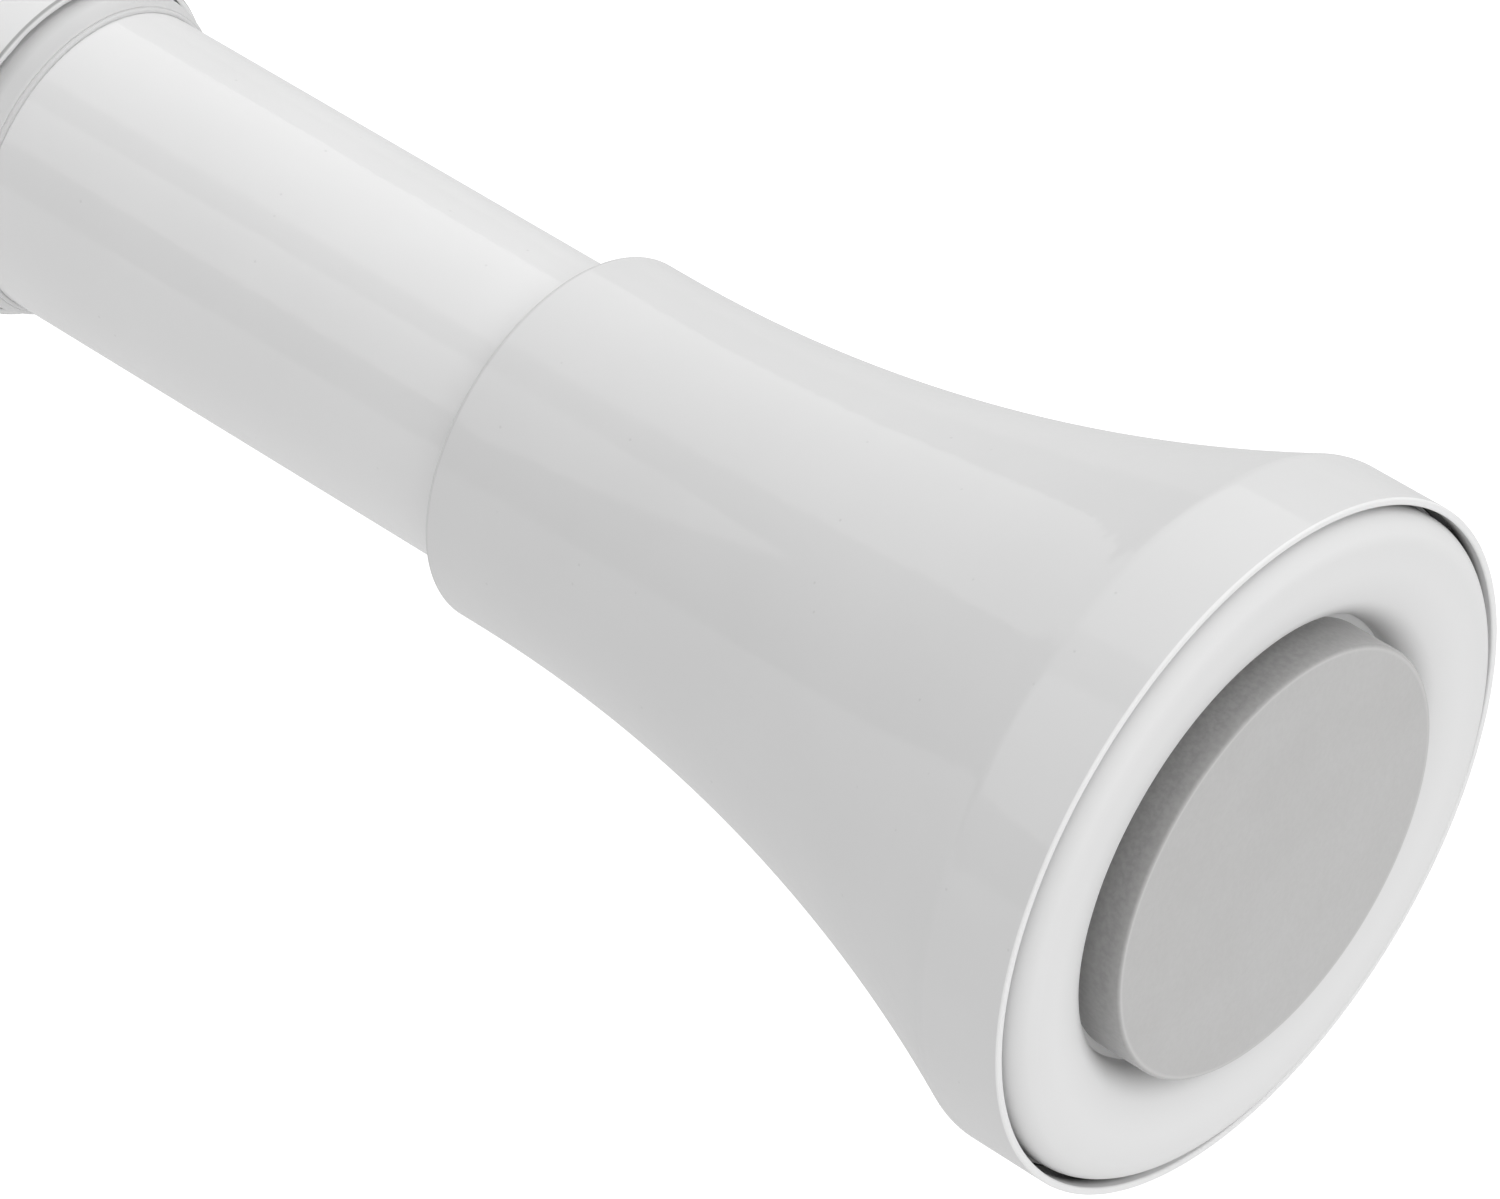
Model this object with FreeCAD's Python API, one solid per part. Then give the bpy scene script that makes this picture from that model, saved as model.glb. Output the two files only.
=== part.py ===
"""Spring tension rod: two telescoping steel tubes, with a trumpet bell and a rubber padded foot at each end.

The rod's axis is X. The outer tube's wall pad faces -X at X = 0, and the inner tube's pad is at the +X end.
A twist lock inside sets the length, and a spring inside the inner tube pushes the two pads apart.
"""
import FreeCAD, Part
import math
import os

V = FreeCAD.Vector
AXIS = V(1, 0, 0)

# Overall lengths, in millimetres: pad face to pad face with the tubes pushed together, and how far they draw
# out from there, up to the least overlap of the tubes. The rod is drawn with some of the inner tube exposed.
collapsed_length = 610.0
extension = 304.0
exposed_tube = 42.85
tube_overlap = 60.0

# Tubes: the inner one's size follows from the collar that it slides in
outer_tube_radius = 12.7
outer_tube_wall = 0.55
inner_tube_wall = 0.6
tube_edge_round = 0.3

# Bell: a thin shell with a short neck, a concave flare, a soft crease and a rim band
bell_length = 58.2
bell_rim_radius = 24.25
bell_wall = 0.5
bell_neck_straight = 2.2
bell_band = 6.3
bell_crease_round = 2.0
bell_neck_round = 0.35
bell_rim_round = 0.15

# Foot: a moulded plate inside the rim, with a well for the pad and a stem that plugs the tube
plate_gap = 0.4
plate_proud = 0.86
plate_crown_inset = 1.85
plate_crown_curve = 16.0
plate_shoulder_round = 1.8
plate_thickness = 1.7
locating_rim_depth = 2.8
foot_skirt_wall = 1.2
plate_ring_width = 8.18
lip_round = 2.4
ledge_width = 0.5
ledge_depth = 2.0
well_depth = 4.0
well_floor = 1.6
well_wall = 1.5
seat_ring = 2.4
stem_length = 30.0
stem_wall = 2.0
rib_count = 6
rib_width = 1.2

# Wall pad: it fills the hole that the plate's ring leaves
pad_proud = 1.87
pad_edge_round = 0.25

# Collar in the mouth of the outer tube
collar_wall = 0.95
collar_sleeve_length = 18.0
collar_nose = 2.55
collar_step = 0.25
collar_step_depth = 0.4
collar_bulge = 0.12
collar_lip_length = 0.35
collar_lip_wall = 0.22
collar_nose_foot = 0.1

# Tapered bush that fills the bell's neck around the inner tube
neck_bush_length = 17.0

# Rolled grooves in the inner tube that hold the guide bush and the spring stop
groove_half_width = 1.6
groove_depth = 0.8

# Guide bush, spring stop and piston
bush_length = 20.0
bush_flange = 2.0
stop_length = 12.0
stop_vent_radius = 3.0
piston_length = 6.0

# Plunger rod
plunger_radius = 4.0
plunger_flat_depth = 0.8
spigot_step = 1.5
clip_thickness = 0.6
clip_rim = 1.9
clip_groove_depth = 0.5
clip_snap = 0.3

# Spring
spring_rest_length = 75.0
spring_side_gap = 1.8
spring_wire = 0.9
spring_turns = 11
washer_thickness = 0.8
washer_clip_gap = 0.8

# Travel
spring_travel = 20.0
travel_margin = 1.0

# Twist lock
lock_flange = 3.0
lock_journal_length = 14.0
lock_offset = 0.6
lock_play = 0.4
lock_socket_floor = 4.0
ring_wall = 3.6
ring_slit = 3.0
ring_side_play = 0.2
ring_tooth_count = 24
ring_tooth_width = 0.8
ring_tooth_depth = 0.35
lock_screw_radius = 1.5
lock_screw_reach = 9.0
lock_screw_head_rim = 1.4
lock_screw_head_height = 2.0
lock_screw_slot = 0.8
lock_washer_rim = 2.1
lock_washer_thickness = 0.8

# Fits: gaps between a piece and what it sits in, on the radius
press_gap = 0.02
slide_gap = 0.05
guide_gap = 0.15
end_gap = 0.1

# How far a cutting shape runs past what it cuts, and how near an edge lies to the place it is picked by
cut_margin = 1.0
place_tolerance = 1e-3

# Sizes that follow from the ones above
rest_length = collapsed_length + exposed_tube
outer_tube_bore = outer_tube_radius - outer_tube_wall
inner_tube_radius = outer_tube_bore - collar_wall - 2 * slide_gap
inner_tube_bore = inner_tube_radius - inner_tube_wall
bell_neck_radius = outer_tube_radius + slide_gap + bell_wall
plate_radius = bell_rim_radius - bell_wall - plate_gap
plate_crown_radius = plate_radius - plate_crown_inset
pad_radius = plate_radius - plate_ring_width
tube_seat_depth = well_depth + well_floor + seat_ring
near_rim_x = pad_proud
far_rim_x = rest_length - pad_proud
mouth_x = far_rim_x - bell_length - exposed_tube - collar_nose
inner_tube_start = mouth_x - (extension - exposed_tube) - tube_overlap
inner_tube_end = far_rim_x - tube_seat_depth
bush_back = inner_tube_start - bush_flange
bush_front = inner_tube_start + bush_length
bush_groove_x = inner_tube_start + bush_length / 2
spigot_radius = plunger_radius - spigot_step
plunger_flats = 2 * (plunger_radius - plunger_flat_depth)
clip_groove_radius = spigot_radius - clip_groove_depth
clip_radius = spigot_radius + clip_rim
clip_opening = 2 * (clip_groove_radius - clip_snap)
piston_back = bush_front + end_gap
piston_front = piston_back + piston_length
clip_groove_start = piston_front + slide_gap
spring_radius = inner_tube_bore - spring_side_gap - spring_wire
washer_bore_radius = clip_radius + washer_clip_gap
spring_back = piston_front + washer_thickness
spring_front = spring_back + spring_rest_length
stop_back = spring_front + washer_thickness
stop_groove_x = stop_back + stop_length / 2
lock_front = bush_back - spring_travel - travel_margin
lock_back = lock_front - 2 * lock_flange - lock_journal_length
ring_radius = outer_tube_bore - guide_gap
ring_bore_radius = ring_radius - ring_wall
lock_journal_radius = ring_bore_radius - lock_play
lock_screw_head_radius = lock_screw_radius + lock_screw_head_rim
lock_washer_radius = lock_screw_head_radius + lock_washer_rim


def line(start, end):
    """Straight edge between two (x, radius) points in the XZ plane."""
    return Part.LineSegment(V(start[0], 0, start[1]), V(end[0], 0, end[1])).toShape()


def arc(start, middle, end):
    """Arc through three (x, radius) points in the XZ plane."""
    points = [V(p[0], 0, p[1]) for p in (start, middle, end)]
    return Part.Arc(*points).toShape()


def on_circle(centre, radius, degrees):
    """Point at an angle on a circle in the XZ plane; 0 degrees points along +X and 90 outwards."""
    angle = math.radians(degrees)
    return (centre[0] + radius * math.cos(angle), centre[1] + radius * math.sin(angle))


def arc_about(centre, radius, start, end):
    """Arc on a circle in the XZ plane, between two angles in degrees."""
    middle = on_circle(centre, radius, (start + end) / 2)
    return arc(on_circle(centre, radius, start), middle, on_circle(centre, radius, end))


def polyline(points):
    """Straight edges through a list of (x, radius) points."""
    return [line(a, b) for a, b in zip(points, points[1:])]


def turned(edges):
    """Solid of revolution about the X axis from a closed loop of profile edges."""
    face = Part.Face(Part.Wire(Part.sortEdges(edges)[0]))
    return face.revolve(V(0, 0, 0), AXIS, 360)


def turned_points(points):
    """Solid of revolution about the X axis from a closed polygon of (x, radius) points."""
    return turned(polyline(points + points[:1]))


def tube(start, end, bore, radius):
    """Straight tube along X."""
    return turned_points([(start, bore), (start, radius), (end, radius), (end, bore)])


def round_edges(shape, radius, places):
    """Rounds the circular edges that lie at the given (x, radius) places."""
    chosen = []
    for edge in shape.Edges:
        centre = edge.CenterOfMass
        if edge.Curve.TypeId != "Part::GeomCircle":
            continue
        for x, r in places:
            if abs(centre.x - x) < place_tolerance and abs(edge.Curve.Radius - r) < place_tolerance:
                chosen.append(edge)
                break
    return shape.makeFillet(radius, chosen)


def at_far_end(shape):
    """Places an end fitting, drawn from its rim plane, on the inner tube's end."""
    placed = shape.copy()
    placed.translate(V(far_rim_x, 0, 0))
    return placed


def at_near_end(shape):
    """Places an end fitting on the outer tube's end, turned to face -X."""
    placed = shape.copy()
    placed.rotate(V(0, 0, 0), V(0, 0, 1), 180)
    placed.translate(V(near_rim_x, 0, 0))
    return placed


def flare():
    """Centre and radius of the circle that the bell's outer surface follows between neck and band."""
    rise = bell_rim_radius - bell_neck_radius
    run = bell_length - bell_neck_straight - bell_band
    curve = (run ** 2 + rise ** 2) / (2 * rise)
    return (bell_neck_straight - bell_length, bell_neck_radius + curve), curve


def crease():
    """Centre of the rounded crease between flare and band, and the flare's turn there in degrees."""
    centre, curve = flare()
    reach = curve + bell_crease_round
    radius = bell_rim_radius - bell_crease_round
    turn = math.acos((centre[1] - radius) / reach)
    return (centre[0] + reach * math.sin(turn), radius), math.degrees(turn)


def bell_side(inset):
    """Edges of the bell's side, from neck to rim, set in by a distance from the outer surface."""
    centre, curve = flare()
    crease_centre, turn = crease()
    neck_radius = bell_neck_radius - inset
    band_radius = bell_rim_radius - inset
    return [
        line((-bell_length, neck_radius), (centre[0], neck_radius)),
        arc_about(centre, curve + inset, -90, turn - 90),
        arc_about(crease_centre, bell_crease_round - inset, turn + 90, 90),
        line((crease_centre[0], band_radius), (0.0, band_radius)),
    ]


def bell():
    """Trumpet shell, open at both ends, with its rim plane at x = 0."""
    neck_x = -bell_length
    edges = bell_side(0.0) + bell_side(bell_wall)
    edges.append(line((neck_x, bell_neck_radius), (neck_x, bell_neck_radius - bell_wall)))
    edges.append(line((0.0, bell_rim_radius), (0.0, bell_rim_radius - bell_wall)))
    shell = turned(edges)
    shell = round_edges(shell, bell_neck_round, [(neck_x, bell_neck_radius)])
    rim_edges = [(0.0, bell_rim_radius), (0.0, bell_rim_radius - bell_wall)]
    return round_edges(shell, bell_rim_round, rim_edges)


def lip_centre(crown, ledge):
    """Centre of the lip's round, tangent to the crown's circle and through the edge of the ledge."""
    across = (ledge[0] - crown[0], ledge[1] - crown[1])
    distance = math.hypot(*across)
    reach = plate_crown_curve - lip_round
    along = (reach ** 2 - lip_round ** 2 + distance ** 2) / (2 * distance)
    aside = math.sqrt(reach ** 2 - along ** 2)
    unit = (across[0] / distance, across[1] / distance)
    return (crown[0] + along * unit[0] - aside * unit[1], crown[1] + along * unit[1] + aside * unit[0])


def plate_face():
    """Edges of the plate's face: shoulder, crown and lip. Also gives the ends of that line."""
    crown = (plate_proud - plate_crown_curve, plate_crown_radius)
    ledge = (-ledge_depth, pad_radius + ledge_width)
    reach = plate_crown_curve - plate_shoulder_round
    lean = math.degrees(math.asin((plate_radius - plate_shoulder_round - crown[1]) / reach))
    shoulder = on_circle(crown, reach, lean)
    lip = lip_centre(crown, ledge)
    dip = math.degrees(math.atan2(lip[1] - crown[1], lip[0] - crown[0]))
    lip_turn = math.degrees(math.atan2(ledge[1] - lip[1], ledge[0] - lip[0]))
    edges = [
        arc_about(shoulder, plate_shoulder_round, 90, lean),
        arc_about(crown, plate_crown_curve, lean, dip),
        arc_about(lip, lip_round, dip, lip_turn),
    ]
    return edges, (shoulder[0], plate_radius), ledge


def foot(tube_bore, tube_radius):
    """Plate, locating rim, ribs and hollow stem, moulded as one piece, for a tube of the given size."""
    face_edges, side_start, ledge = plate_face()
    plate_back = -ledge_depth - plate_thickness
    rim_front = -locating_rim_depth
    rim_back = crease()[0][0] + end_gap
    rim_outer = bell_rim_radius - bell_wall - slide_gap
    skirt_bore = plate_radius - foot_skirt_wall
    well_bore = pad_radius + press_gap
    hub_radius = well_bore + well_wall
    floor_back = -well_depth - well_floor
    seat_radius = tube_radius
    stem_radius = tube_bore - slide_gap
    stem_end = -tube_seat_depth - stem_length
    outline = [
        side_start,
        (rim_front, side_start[1]),
        (rim_front, rim_outer),
        (rim_back, rim_outer),
        (rim_back, skirt_bore),
        (plate_back, skirt_bore),
        (plate_back, hub_radius),
        (floor_back, hub_radius),
        (floor_back, seat_radius),
        (-tube_seat_depth, seat_radius),
        (-tube_seat_depth, stem_radius),
        (stem_end, stem_radius),
        (stem_end, stem_radius - stem_wall),
        (floor_back, stem_radius - stem_wall),
        (floor_back, 0.0),
        (-well_depth, 0.0),
        (-well_depth, well_bore),
        (-ledge_depth, well_bore),
        ledge,
    ]
    body = turned(face_edges + polyline(outline))
    rib_length = skirt_bore - hub_radius
    for n in range(rib_count):
        rib = Part.makeBox(plate_back - floor_back, rib_width, rib_length + 2 * slide_gap)
        rib.translate(V(floor_back, -rib_width / 2, hub_radius - slide_gap))
        rib.rotate(V(0, 0, 0), AXIS, n * 360 / rib_count)
        body = body.fuse(rib)
    return body.removeSplitter()


def pad():
    """Round rubber pad that fills the plate's well and stands proud of it."""
    side = [(-well_depth, pad_radius), (pad_proud, pad_radius)]
    block = turned_points([(-well_depth, 0.0)] + side + [(pad_proud, 0.0)])
    return round_edges(block, pad_edge_round, [(pad_proud, pad_radius)])


def outer_tube():
    """Larger tube, from the near foot's seat to the mouth that holds the collar."""
    start = near_rim_x + tube_seat_depth
    body = tube(start, mouth_x, outer_tube_bore, outer_tube_radius)
    return round_edges(body, tube_edge_round, [(mouth_x, outer_tube_radius)])


def groove_arc(x, radius, half_width, depth):
    """Arc of a round-bottomed groove in a surface of the given radius."""
    return arc((x - half_width, radius), (x, radius - depth), (x + half_width, radius))


def inner_tube():
    """Smaller tube, with a groove rolled into its wall over the guide bush and over the spring stop."""
    edges = []
    for radius in (inner_tube_radius, inner_tube_bore):
        x = inner_tube_start
        for groove_x in (bush_groove_x, stop_groove_x):
            edges.append(line((x, radius), (groove_x - groove_half_width, radius)))
            edges.append(groove_arc(groove_x, radius, groove_half_width, groove_depth))
            x = groove_x + groove_half_width
        edges.append(line((x, radius), (inner_tube_end, radius)))
    for x in (inner_tube_start, inner_tube_end):
        edges.append(line((x, inner_tube_bore), (x, inner_tube_radius)))
    return turned(edges)


def grooved_plug(start, end, groove_x, bore):
    """Round plug in the inner tube's bore, with a groove that the tube's rolled groove sits in."""
    radius = inner_tube_bore - slide_gap
    half_width = groove_half_width + guide_gap
    depth = groove_depth + slide_gap
    edges = [
        line((start, radius), (groove_x - half_width, radius)),
        groove_arc(groove_x, radius, half_width, depth),
        line((groove_x + half_width, radius), (end, radius)),
        line((end, radius), (end, bore)),
        line((end, bore), (start, bore)),
        line((start, bore), (start, radius)),
    ]
    return turned(edges)


def mouth_collar():
    """Moulded collar: a sleeve inside the outer tube, a step, a rounded nose and a thin lip on the inner tube."""
    bore = inner_tube_radius + slide_gap
    sleeve = outer_tube_bore - slide_gap
    nose_end = mouth_x + collar_nose
    step_x = nose_end - collar_lip_length
    step_radius = bore + collar_lip_wall
    sleeve_start = mouth_x - collar_sleeve_length
    sleeve_end = mouth_x - collar_step_depth
    nose_radius = sleeve - collar_step
    nose_top = ((mouth_x + step_x) / 2, nose_radius + collar_bulge)
    nose_front = (step_x, step_radius + collar_nose_foot)
    lip_round_x = nose_end - collar_lip_wall
    edges = [
        line((mouth_x, nose_radius), (sleeve_end, nose_radius)),
        line((sleeve_end, nose_radius), (sleeve_end, sleeve)),
        line((sleeve_end, sleeve), (sleeve_start, sleeve)),
        line((sleeve_start, sleeve), (sleeve_start, bore)),
        line((sleeve_start, bore), (nose_end, bore)),
        arc((mouth_x, nose_radius), nose_top, nose_front),
        line(nose_front, (step_x, step_radius)),
        line((step_x, step_radius), (lip_round_x, step_radius)),
        arc_about((lip_round_x, bore), collar_lip_wall, 90, 0),
    ]
    return turned(edges)


def neck_bush():
    """Tapered bush between the inner tube and the bell's neck, drawn from the bell's rim plane."""
    centre, curve = flare()
    inset = bell_wall + slide_gap
    bore = inner_tube_radius + slide_gap
    back = -bell_length + bell_neck_round
    front = back + neck_bush_length
    turn = math.degrees(math.asin((front - centre[0]) / (curve + inset)))
    front_radius = on_circle(centre, curve + inset, turn - 90)[1]
    edges = [
        line((back, bell_neck_radius - inset), (centre[0], bell_neck_radius - inset)),
        arc_about(centre, curve + inset, -90, turn - 90),
        line((front, front_radius), (front, bore)),
        line((front, bore), (back, bore)),
        line((back, bore), (back, bell_neck_radius - inset)),
    ]
    return turned(edges)


def double_d(start, end, radius, flats):
    """Round bar along X with two opposite flats."""
    bar = Part.makeCylinder(radius, end - start, V(start, 0, 0), AXIS)
    block = Part.makeBox(end - start, flats, 2 * radius)
    block.translate(V(start, -flats / 2, -radius))
    return bar.common(block)


def guide_bush():
    """Bush in the inner tube's end: its flange runs in the outer tube, and its keyed hole guides the rod."""
    body = grooved_plug(inner_tube_start, bush_front, bush_groove_x, 0.0)
    flange_radius = outer_tube_bore - guide_gap
    flange = Part.makeCylinder(flange_radius, bush_flange, V(bush_back, 0, 0), AXIS)
    hole_start = bush_back - cut_margin
    hole_end = bush_front + cut_margin
    hole = double_d(hole_start, hole_end, plunger_radius + slide_gap, plunger_flats + 2 * slide_gap)
    return body.fuse(flange).cut(hole).removeSplitter()


def spring_stop():
    """Plug in the inner tube that the spring pushes on, with a vent through it."""
    return grooved_plug(stop_back, stop_back + stop_length, stop_groove_x, stop_vent_radius)


def plunger_rod():
    """Keyed rod from the lock to the piston, with a spigot, a clip groove and a tapped hole."""
    back = lock_back + lock_socket_floor + slide_gap
    bar = double_d(back, piston_back, plunger_radius, plunger_flats)
    groove_end = clip_groove_start + clip_thickness + slide_gap
    spigot = turned_points([
        (piston_back, 0.0),
        (piston_back, spigot_radius),
        (clip_groove_start, spigot_radius),
        (clip_groove_start, clip_groove_radius),
        (groove_end, clip_groove_radius),
        (groove_end, spigot_radius),
        (groove_end + clip_thickness, spigot_radius),
        (groove_end + clip_thickness, 0.0),
    ])
    tapped = Part.makeCylinder(lock_screw_radius + press_gap, lock_screw_reach, V(back, 0, 0), AXIS)
    return bar.fuse(spigot).cut(tapped).removeSplitter()


def piston():
    """Plastic piston on the rod's spigot, sliding in the inner tube."""
    return tube(piston_back, piston_front, spigot_radius + press_gap, inner_tube_bore - guide_gap)


def piston_clip():
    """Open spring clip in the groove of the rod's spigot."""
    start = clip_groove_start + slide_gap / 2
    ring = tube(start, start + clip_thickness, clip_groove_radius + press_gap, clip_radius)
    gap = Part.makeBox(clip_thickness + 2 * cut_margin, clip_opening, clip_radius + cut_margin)
    gap.translate(V(start - cut_margin, -clip_opening / 2, 0))
    return ring.cut(gap)


def spring_washer(start):
    """Flat steel washer at one end of the spring."""
    return tube(start, start + washer_thickness, washer_bore_radius, inner_tube_bore - guide_gap)


def main_spring():
    """Compression spring: each half turn is a leaning half circle, with a closed turn at each end."""
    closed_pitch = 2 * spring_wire + slide_gap
    x = spring_back + spring_wire + press_gap
    open_pitch = (spring_rest_length - 2 * (spring_wire + press_gap) - 2 * closed_pitch) / spring_turns
    profile = Part.Wire([Part.makeCircle(spring_wire, V(x, 0, spring_radius), V(0, 1, 0))])
    edges = []
    side = 1
    for pitch in [closed_pitch] + [open_pitch] * spring_turns + [closed_pitch]:
        for half in range(2):
            lean = math.hypot(spring_radius, pitch / 4)
            start = V(x, 0, side * spring_radius)
            middle = V(x + pitch / 4, side * lean, 0)
            x += pitch / 2
            side = -side
            edges.append(Part.Arc(start, middle, V(x, 0, side * spring_radius)).toShape())
    return Part.Wire(edges).makePipe(Part.Face(profile))


def lock_core():
    """Core of the twist lock: two flanges with an off-centre journal between them, and a keyed socket."""
    flange_radius = outer_tube_bore - guide_gap - slide_gap
    journal_start = lock_back + lock_flange
    journal_end = lock_front - lock_flange
    body = Part.makeCylinder(flange_radius, lock_flange, V(lock_back, 0, 0), AXIS)
    body = body.fuse(Part.makeCylinder(flange_radius, lock_flange, V(journal_end, 0, 0), AXIS))
    journal_base = V(journal_start, 0, lock_offset)
    body = body.fuse(Part.makeCylinder(lock_journal_radius, lock_journal_length, journal_base, AXIS))
    socket_start = lock_back + lock_socket_floor
    socket_end = lock_front + cut_margin
    socket = double_d(socket_start, socket_end, plunger_radius + press_gap, plunger_flats + 2 * press_gap)
    hole_start = V(lock_back - cut_margin, 0, 0)
    hole_length = lock_socket_floor + 2 * cut_margin
    screw_hole = Part.makeCylinder(lock_screw_radius + slide_gap, hole_length, hole_start, AXIS)
    return body.cut(socket).cut(screw_hole).removeSplitter()


def cam_ring():
    """Split ring on the journal, with its bore off centre and fine teeth that grip the outer tube.

    The slit takes the place of the first groove between the teeth.
    """
    start = lock_back + lock_flange + ring_side_play
    length = lock_journal_length - 2 * ring_side_play
    body = Part.makeCylinder(ring_radius, length, V(start, 0, 0), AXIS)
    cut_start = start - cut_margin
    cut_length = length + 2 * cut_margin
    body = body.cut(Part.makeCylinder(ring_bore_radius, cut_length, V(cut_start, 0, lock_offset), AXIS))
    cuts = []
    for n in range(1, ring_tooth_count):
        groove = Part.makeBox(cut_length, ring_tooth_width, 2 * ring_tooth_depth)
        groove.translate(V(cut_start, -ring_tooth_width / 2, ring_radius - ring_tooth_depth))
        groove.rotate(V(0, 0, 0), AXIS, n * 360 / ring_tooth_count)
        cuts.append(groove)
    slit = Part.makeBox(cut_length, ring_slit, ring_radius + cut_margin)
    slit.translate(V(cut_start, -ring_slit / 2, 0))
    cuts.append(slit)
    return body.cut(Part.makeCompound(cuts))


def lock_washer():
    """Washer under the lock screw's head."""
    start = lock_back - lock_washer_thickness
    return tube(start, lock_back, lock_screw_radius + slide_gap, lock_washer_radius)


def lock_screw():
    """Slotted screw that holds the lock's core on the plunger rod."""
    head_front = lock_back - lock_washer_thickness
    head_back = head_front - lock_screw_head_height
    shank_end = lock_back + lock_socket_floor + lock_screw_reach - travel_margin
    body = turned_points([
        (head_back, 0.0),
        (head_back, lock_screw_head_radius),
        (head_front, lock_screw_head_radius),
        (head_front, lock_screw_radius),
        (shank_end, lock_screw_radius),
        (shank_end, 0.0),
    ])
    slot_reach = lock_screw_head_radius + cut_margin
    slot = Part.makeBox(lock_screw_slot + cut_margin, lock_screw_slot, 2 * slot_reach)
    slot.translate(V(head_back - cut_margin, -lock_screw_slot / 2, -slot_reach))
    return body.cut(slot)


def build():
    """All sub-parts by node name."""
    end_bell = bell()
    end_pad = pad()
    return {
        "outer_tube": outer_tube(),
        "mouth_collar": mouth_collar(),
        "outer_bell": at_near_end(end_bell),
        "outer_foot": at_near_end(foot(outer_tube_bore, outer_tube_radius)),
        "outer_pad": at_near_end(end_pad),
        "inner_tube": inner_tube(),
        "inner_bell": at_far_end(end_bell),
        "neck_bush": at_far_end(neck_bush()),
        "inner_foot": at_far_end(foot(inner_tube_bore, inner_tube_radius)),
        "inner_pad": at_far_end(end_pad),
        "guide_bush": guide_bush(),
        "spring_stop": spring_stop(),
        "plunger_rod": plunger_rod(),
        "piston": piston(),
        "piston_clip": piston_clip(),
        "back_washer": spring_washer(piston_front),
        "front_washer": spring_washer(spring_front),
        "main_spring": main_spring(),
        "lock_core": lock_core(),
        "cam_ring": cam_ring(),
        "lock_washer": lock_washer(),
        "lock_screw": lock_screw(),
    }


def export(shapes):
    """Writes one STEP file per sub-part and prints what each holds."""
    os.makedirs("parts", exist_ok=True)
    for name, shape in shapes.items():
        solid = shape.Solids[0]
        box = solid.BoundBox
        print(name, len(shape.Solids), shape.isValid(), round(solid.Volume, 1),
              "x", round(box.XMin, 2), round(box.XMax, 2), "r", round(box.ZMax, 2))
        solid.exportStep("parts/" + name + ".step")


export(build())
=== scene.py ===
# Looks of a spring tension rod: white coated steel tubes and bells, moulded plates, grey rubber wall pads.
#
# Lengths are in metres. The rod's axis is X, and each round piece is an outline of (x, radius) points
# turned about it. End fittings are drawn from their bell's rim plane at x = 0, with the tube on the -X
# side, and are then placed at either end of the rod.
import math
import bmesh
import bpy
from mathutils import Matrix, Vector, noise


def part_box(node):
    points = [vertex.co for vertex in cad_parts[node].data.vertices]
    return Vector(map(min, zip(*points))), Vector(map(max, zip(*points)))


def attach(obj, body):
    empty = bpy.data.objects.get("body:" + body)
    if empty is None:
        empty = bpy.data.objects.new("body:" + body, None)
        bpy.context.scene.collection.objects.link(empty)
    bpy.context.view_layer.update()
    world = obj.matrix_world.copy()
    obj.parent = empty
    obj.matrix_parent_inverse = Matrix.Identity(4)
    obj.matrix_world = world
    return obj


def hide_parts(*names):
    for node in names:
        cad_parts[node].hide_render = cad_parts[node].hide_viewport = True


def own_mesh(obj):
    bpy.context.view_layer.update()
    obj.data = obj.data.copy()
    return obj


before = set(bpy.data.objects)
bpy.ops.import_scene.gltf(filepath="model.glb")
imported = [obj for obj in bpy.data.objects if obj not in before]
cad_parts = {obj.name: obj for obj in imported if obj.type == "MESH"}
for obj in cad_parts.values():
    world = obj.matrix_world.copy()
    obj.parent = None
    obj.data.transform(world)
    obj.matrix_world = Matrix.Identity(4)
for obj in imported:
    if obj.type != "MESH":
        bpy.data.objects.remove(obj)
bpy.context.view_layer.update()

mm = 0.001

# Camera: place, angles of its line of sight, lens, and the nearest distance that it sees
camera_place = Vector((0.87985, -0.30088, 0.35862))
camera_azimuth = math.radians(41.98)
camera_elevation = math.radians(41.878)
camera_lens = 201.95
camera_sensor = 36.0
camera_near = 0.01

# Studio light, as radiance. The sky is dark in front of the rod and brightens evenly towards the back, from
# the given y of a ray's direction on. What comes up from the ground is brightest in front.
sky_dark_y = -0.4
sky_back = 0.56
ground_front = 0.91
ground_back = 0.63
horizon_edge = 1e-4

# Floor
floor_glow = 1.0
floor_albedo = 0.25
floor_depth = 0.55
floor_width = 180.0

# Bell
bell_wall = 0.5 * mm
bell_neck_straight = 2.2 * mm
bell_band = 6.3 * mm
bell_crease_round = 2.0 * mm
bell_neck_round = 0.35 * mm
bell_rim_round = 0.15 * mm

# Foot
plate_gap = 0.4 * mm
plate_proud = 0.86 * mm
plate_crown_inset = 1.85 * mm
plate_crown_curve = 16.0 * mm
plate_shoulder_round = 1.8 * mm
plate_thickness = 1.7 * mm
locating_rim_depth = 2.8 * mm
foot_skirt_wall = 1.2 * mm
lip_round = 2.4 * mm
ledge_width = 0.5 * mm
ledge_depth = 2.0 * mm
well_depth = 4.0 * mm
well_floor = 1.6 * mm
well_wall = 1.5 * mm
stem_length = 30.0 * mm
stem_wall = 2.0 * mm
rib_count = 6
rib_width = 1.2 * mm
pad_edge_round = 0.25 * mm

# Tubes and collar
outer_tube_wall = 0.55 * mm
inner_tube_wall = 0.6 * mm
tube_edge_round = 0.3 * mm
mouth_ragged = 0.08 * mm
mouth_ragged_waves = 9.0
groove_half_width = 1.6 * mm
groove_depth = 0.8 * mm
collar_bulge = 0.12 * mm
collar_lip_length = 0.35 * mm
collar_lip_wall = 0.22 * mm
collar_nose_foot = 0.1 * mm
collar_step = 0.25 * mm
collar_step_depth = 0.4 * mm
collar_fit = 0.015 * mm

# Fits
slide_gap = 0.05 * mm
end_gap = 0.1 * mm

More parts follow.
